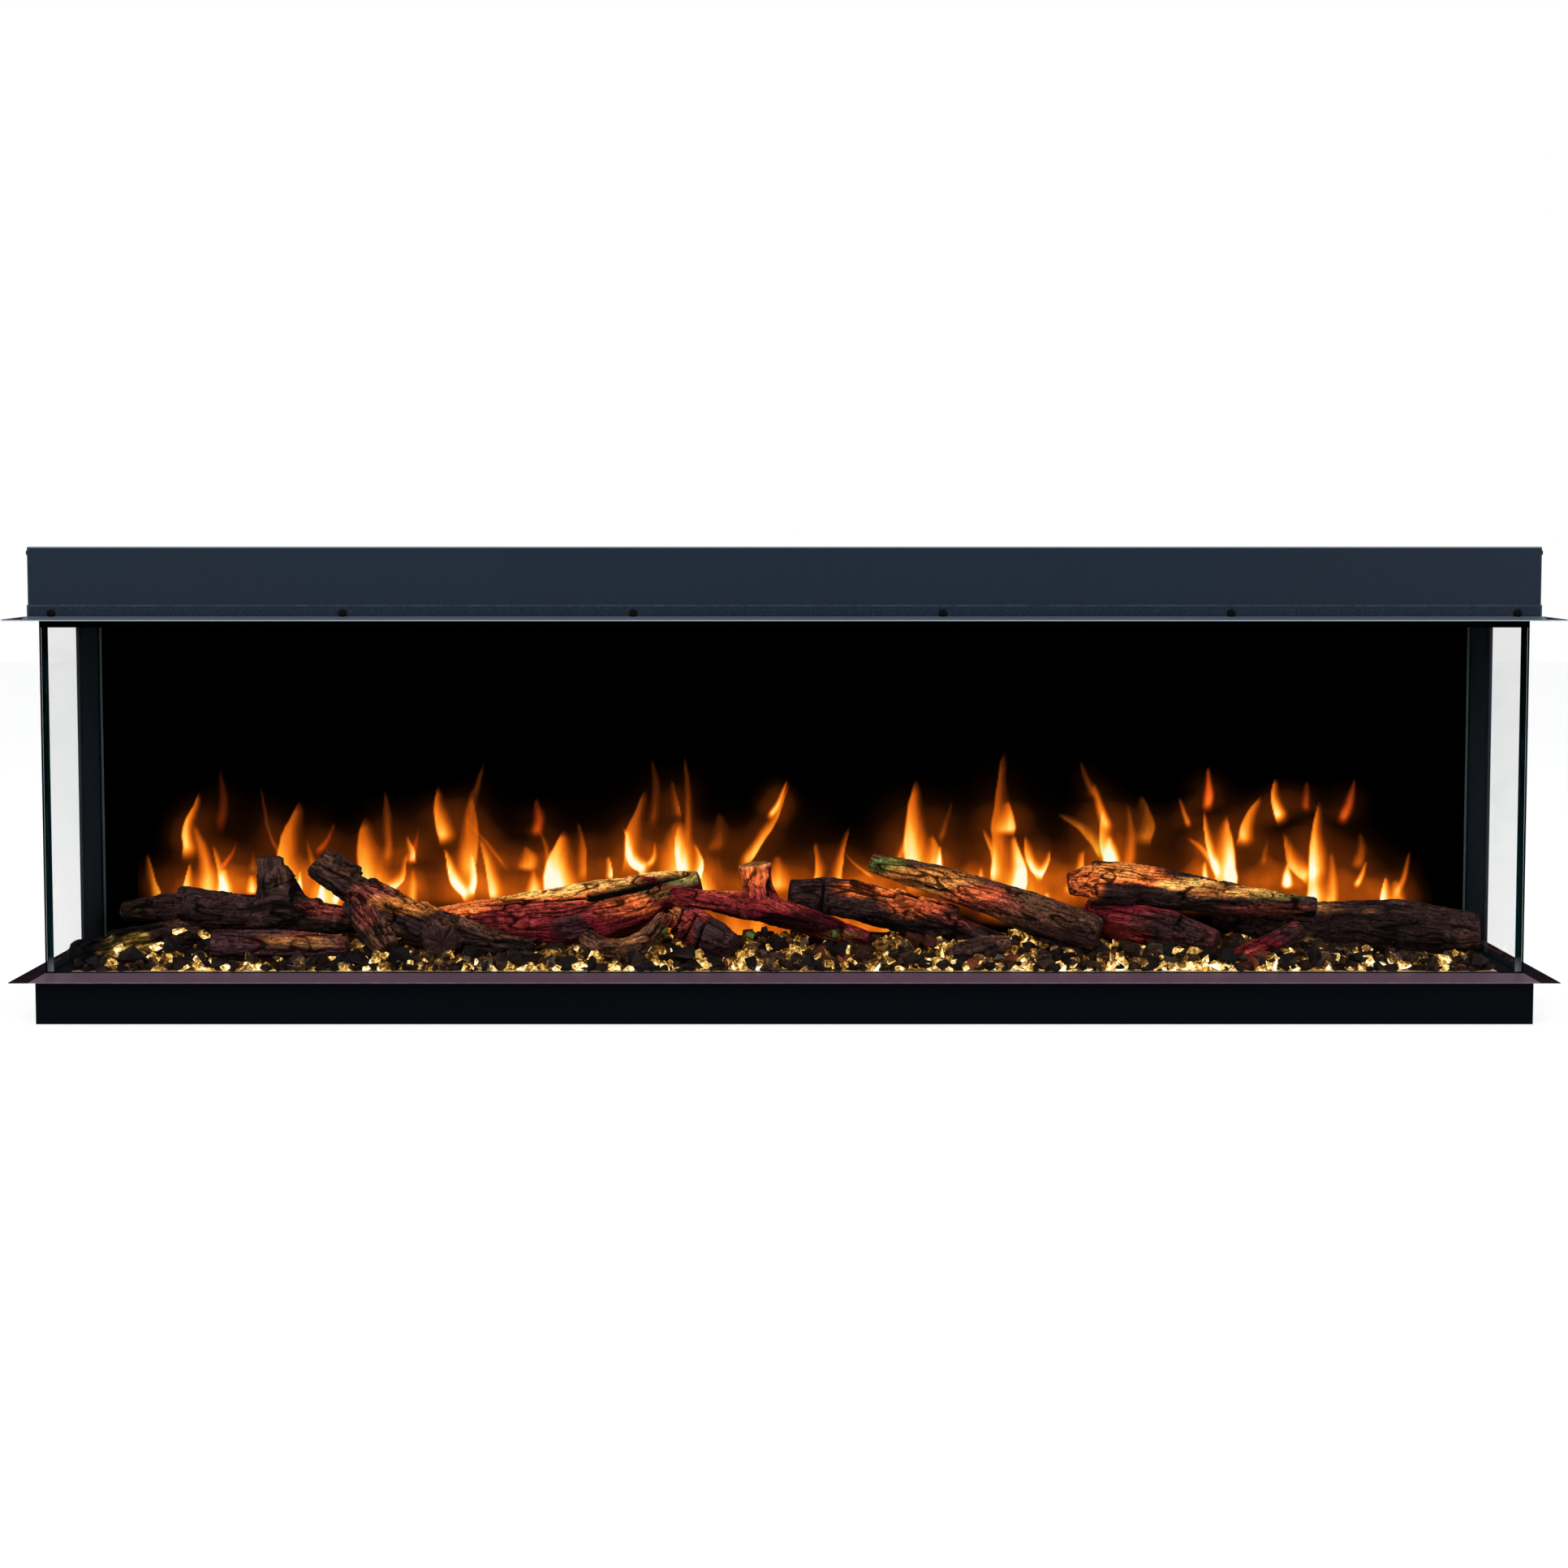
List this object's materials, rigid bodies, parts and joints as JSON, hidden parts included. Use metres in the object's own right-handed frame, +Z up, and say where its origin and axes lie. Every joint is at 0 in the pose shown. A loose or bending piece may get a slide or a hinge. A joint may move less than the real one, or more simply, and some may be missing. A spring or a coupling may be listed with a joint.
{
  "type": "three-sided electric fireplace",
  "caption": "Long built-in electric fireplace with glass on the front and both ends, ember bed, log set and flame screen.",
  "frame": {"origin": "bottom centre of the whole part, under the base pan", "axes": "+Z up, +X to the viewer's right along the length, +Y to the rear"},
  "size_m": [1.879, 0.4014, 0.583],
  "materials": {
    "blue_grey_coat": "satin powder coat",
    "black_coat": "matt powder coat",
    "trim_coat": "satin coat",
    "clear_glass": "clear, polished edges",
    "black_glass": "gloss black",
    "frosted_plastic": "frosted",
    "ember_crystals": "glowing amber crystals and dark coals",
    "charred_bark": "hand-painted bark",
    "glowing_bark": "hand-painted red bark",
    "mossy_bark": "hand-painted mossy bark",
    "galvanised_steel": "galvanised",
    "mirror_foil": "mirror",
    "motor_shell": "plated",
    "circuit_board": "solder mask",
    "light_board": "white solder mask",
    "black_plastic": "moulded",
    "black_screw": "black oxide"
  },
  "bodies": {
    "cabinet": {"base_pan": "black_coat", "back_panel": "black_coat", "left_side_panel": "blue_grey_coat", "right_side_panel": "blue_grey_coat", "top_cover": "blue_grey_coat", "left_end_cap": "blue_grey_coat", "right_end_cap": "blue_grey_coat", "ceiling_pan": "black_coat", "upper_front_flange": "blue_grey_coat", "upper_left_flange": "blue_grey_coat", "upper_right_flange": "blue_grey_coat", "lower_front_flange": "trim_coat", "lower_left_flange": "trim_coat", "lower_right_flange": "trim_coat", "front_glass": "clear_glass", "left_glass": "clear_glass", "right_glass": "clear_glass", "flame_screen": "black_glass", "screen_rail": "galvanised_steel", "ember_tray": "frosted_plastic", "ember_bed": "ember_crystals", "ember_light_board": "light_board", "flame_light_board": "light_board", "downlight_board": "light_board", "flame_reflector": "galvanised_steel", "spindle_bearing": "black_plastic", "spindle_motor": "motor_shell", "blower_housing": "galvanised_steel", "blower_motor": "motor_shell", "heater_element": "galvanised_steel", "outlet_grille": "black_plastic", "control_board": "circuit_board", "switch_body": "black_plastic", "cord_gland": "black_plastic", "front_screw_1": "black_screw", "front_screw_2": "black_screw", "front_screw_3": "black_screw", "front_screw_4": "black_screw", "front_screw_5": "black_screw", "front_screw_6": "black_screw", "log_corner_left": "charred_bark", "log_rear_left": "charred_bark", "log_split_small": "charred_bark", "log_stub_left": "charred_bark", "log_fork": "charred_bark", "log_split_large": "glowing_bark", "log_hook": "charred_bark", "log_root": "glowing_bark", "log_red_stub": "glowing_bark", "log_centre_dark": "charred_bark", "log_chunk_front": "charred_bark", "log_moss_long": "mossy_bark", "log_burl": "glowing_bark", "log_red_branch": "glowing_bark", "log_right_large": "charred_bark", "log_mossy_right": "mossy_bark"},
    "flame_spindle": {"flame_spindle": "mirror_foil"},
    "blower_wheel": {"blower_wheel": "galvanised_steel"},
    "switch_rocker": {"switch_rocker": "black_plastic"}
  },
  "joints": [
    {"name": "flame_spindle_spin", "type": "hinge", "parent": "cabinet", "child": "flame_spindle", "pos_m": [0, 0.14875, 0.092], "axis": [1, 0, 0], "continuous": true},
    {"name": "blower_spin", "type": "hinge", "parent": "cabinet", "child": "blower_wheel", "pos_m": [0, -0.10425, 0.5399], "axis": [1, 0, 0], "continuous": true},
    {"name": "power_switch_rock", "type": "hinge", "parent": "cabinet", "child": "switch_rocker", "pos_m": [0.78, 0.18955, 0.54], "axis": [0, 0, 1], "range_deg": [-16, 0]}
  ]
}
